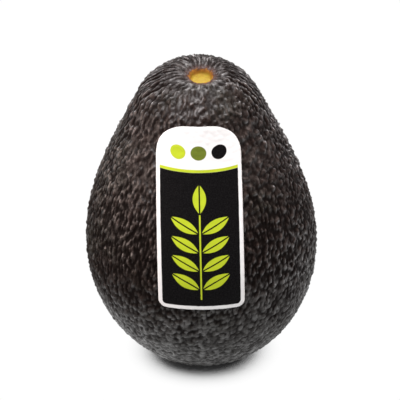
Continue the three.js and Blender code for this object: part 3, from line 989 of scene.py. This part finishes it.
class AVOCADO_OT_label(bpy.types.Operator):
    """Sticks the paper label on the front"""

    bl_idname = "avocado.label"
    bl_label = "Stick label"

    def execute(self, context):
        scene = context.scene
        label = scene.avocado_label
        bpy.ops.object.select_all(action="DESELECT")
        bpy.ops.mesh.primitive_grid_add(
            x_subdivisions=label.columns,
            y_subdivisions=label.rows,
            size=2 * GRID_HALF,
            location=(0, 0, 0),
        )
        piece = context.object
        piece.name = piece.data.name = "label_paper"
        lay_label(piece, scene.avocado_fruit, scene.avocado_skin, label)
        bpy.ops.object.shade_smooth()
        wall = piece.modifiers.new("Paper", "SOLIDIFY")
        wall.thickness = label.thickness
        wall.offset = 1
        bpy.ops.object.modifier_apply(modifier=wall.name)
        piece.data.materials.append(label_material(label))
        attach(piece, FRUIT_BODY)
        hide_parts(LABEL_NODE)
        return {"FINISHED"}


def soft_light(stage, lamp):
    """A square soft light that faces the fruit."""
    light = bpy.data.lights.new(lamp.name, "AREA")
    light.color = getattr(stage, lamp.tint)
    light.size = lamp.size
    light.energy = getattr(stage, lamp.name)
    holder = bpy.data.objects.new(lamp.name, light)
    bpy.context.collection.objects.link(holder)
    holder.location = lamp.place
    way = Vector(LIGHT_AIM) - Vector(lamp.place)
    holder.rotation_euler = way.to_track_quat("-Z", "Y").to_euler()
    holder.visible_camera = False


def painted_floor_glow(tree, stage):
    """Painted glow of the floor that stands in for its bounce: faint, more close by and behind, and a patch
    on the right.
    """
    spot = add_node(tree, "ShaderNodeTexCoord").outputs["Object"]
    x, y, _ = add_node(tree, "ShaderNodeSeparateXYZ", Vector=spot).outputs
    away = hypotenuse(tree, maths(tree, "SUBTRACT", x, stage.bounce_shift), y)
    near = ramp(tree, away, *NEAR_RANGE, stage.bounce, stage.bounce_near)
    near = maths(tree, "MULTIPLY", near, ramp(tree, away, *UNDER_RANGE, UNDER_GLOW, 1.0))
    near = maths(tree, "ADD", near, ramp(tree, y, *BACK_RANGE, 0.0, stage.bounce_back))
    off_middle = maths(tree, "ABSOLUTE", maths(tree, "SUBTRACT", y, PATCH_MIDDLE))
    beside = ramp(tree, x, *SIDE_RANGE, 0.0, stage.bounce_right)
    return maths(tree, "MULTIPLY_ADD", ramp(tree, off_middle, *PATCH_RANGE), beside, near)


def seen_by_camera(tree):
    """1 for what the camera sees itself, 0 for what lights the fruit."""
    return add_node(tree, "ShaderNodeLightPath").outputs["Is Camera Ray"]


def white_floor(stage):
    """A white glowing floor whose glow is darkened, as painted shadow, only where the fruit stands close
    over it.
    """
    material = bpy.data.materials.new("floor")
    tree = empty_nodes(material)
    # Painted shadow: the floor's glow dims where little sky is open over it
    sky = add_node(
        tree, "ShaderNodeAmbientOcclusion", {"samples": SHADOW_SAMPLES}, Distance=stage.shadow_reach
    )
    opening = maths(tree, "SUBTRACT", sky.outputs["AO"], stage.shadow_dark)
    opening = maths(tree, "MAXIMUM", opening, 0.0)
    darkness = maths(tree, "EXPONENT", maths(tree, "MULTIPLY", opening, -stage.shadow_rise))
    shade = maths(tree, "SUBTRACT", 1.0 + stage.shadow_fill, darkness)
    # Painted glow that lights the fruit, dimmed by the same painted shadow
    bounce = maths(tree, "MULTIPLY", painted_floor_glow(tree, stage), shade)
    light = add_node(tree, "ShaderNodeMix", _0=seen_by_camera(tree), _2=bounce, _3=shade).outputs[0]
    glow = add_node(tree, "ShaderNodeEmission", Color=solid(stage.floor), Strength=light)
    add_node(tree, "ShaderNodeOutputMaterial", Surface=glow.outputs[0])
    bpy.ops.object.select_all(action="DESELECT")
    bpy.ops.mesh.primitive_plane_add(size=FLOOR_SIZE, location=(0, 0, 0))
    floor = bpy.context.object
    floor.name = "floor"
    floor.data.materials.append(material)
    floor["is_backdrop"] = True


def white_surround(stage):
    """A white surround, dimmer for the fruit's reflections than it looks, and brighter overhead."""
    world = bpy.data.worlds.new("surround")
    tree = empty_nodes(world)
    way = add_node(tree, "ShaderNodeTexCoord").outputs["Generated"]
    _, _, rise = add_node(tree, "ShaderNodeSeparateXYZ", Vector=way).outputs
    dome = ramp(tree, rise, *DOME_RANGE, stage.surround, stage.overhead)
    strength = maths(tree, "MAXIMUM", dome, seen_by_camera(tree))
    glow = add_node(tree, "ShaderNodeBackground", Color=solid(stage.floor), Strength=strength)
    add_node(tree, "ShaderNodeOutputWorld", Surface=glow.outputs[0])
    bpy.context.scene.world = world


def photo_camera(stage):
    """The camera at the photograph's height and distance."""
    lens = bpy.data.cameras.new("camera")
    lens.lens = stage.lens
    camera = bpy.data.objects.new("camera", lens)
    bpy.context.collection.objects.link(camera)
    back = Vector((0, -math.cos(stage.elevation), math.sin(stage.elevation)))
    camera.location = Vector(stage.aim) + back * stage.distance
    camera.rotation_euler = (-back).to_track_quat("-Z", "Y").to_euler()
    bpy.context.scene.camera = camera


class AVOCADO_OT_stage(bpy.types.Operator):
    """Sets the floor, the lights and the camera"""

    bl_idname = "avocado.stage"
    bl_label = "Set stage"

    def execute(self, context):
        stage = context.scene.avocado_stage
        white_floor(stage)
        white_surround(stage)
        for lamp in LAMPS:
            soft_light(stage, lamp)
        photo_camera(stage)
        context.scene.view_settings.view_transform = "Standard"
        return {"FINISHED"}


class AVOCADO_PT_panel(bpy.types.Panel):
    """Lists the pieces and their settings"""

    bl_idname = "AVOCADO_PT_panel"
    bl_label = "Avocado"
    bl_space_type = "VIEW_3D"
    bl_region_type = "UI"
    bl_category = "Avocado"

    def draw(self, context):
        for operator, settings in PANEL_ROWS:
            column = self.layout.column(align=True)
            column.operator(operator)
            for group in settings:
                values = getattr(context.scene, group)
                for name in values.__annotations__:
                    column.prop(values, name)


PANEL_ROWS = (
    ("avocado.skin", ("avocado_fruit", "avocado_skin")),
    ("avocado.label", ("avocado_label",)),
    ("avocado.stage", ("avocado_stage",)),
)
SETTINGS = {
    "avocado_fruit": FruitShape,
    "avocado_skin": SkinFinish,
    "avocado_label": LabelPaper,
    "avocado_stage": StageLight,
}
CLASSES = (AVOCADO_OT_skin, AVOCADO_OT_label, AVOCADO_OT_stage, AVOCADO_PT_panel)


def register():
    """Adds the settings, the operators and the panel."""
    for name, group in SETTINGS.items():
        bpy.utils.register_class(group)
        setattr(bpy.types.Scene, name, bpy.props.PointerProperty(type=group))
    for kind in CLASSES:
        bpy.utils.register_class(kind)


def unregister():
    """Takes them out again."""
    for kind in reversed(CLASSES):
        bpy.utils.unregister_class(kind)
    for name, group in reversed(SETTINGS.items()):
        delattr(bpy.types.Scene, name)
        bpy.utils.unregister_class(group)


def main():
    """Builds the pieces and the stage."""
    register()
    bpy.ops.avocado.skin()
    bpy.ops.avocado.label()
    bpy.ops.avocado.stage()
    boxes = {"cad": CAD_BOX, "visual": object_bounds()}
    {name: [list(corner) for corner in box] for name, box in boxes.items()}


if __name__ == "__main__":
    main()
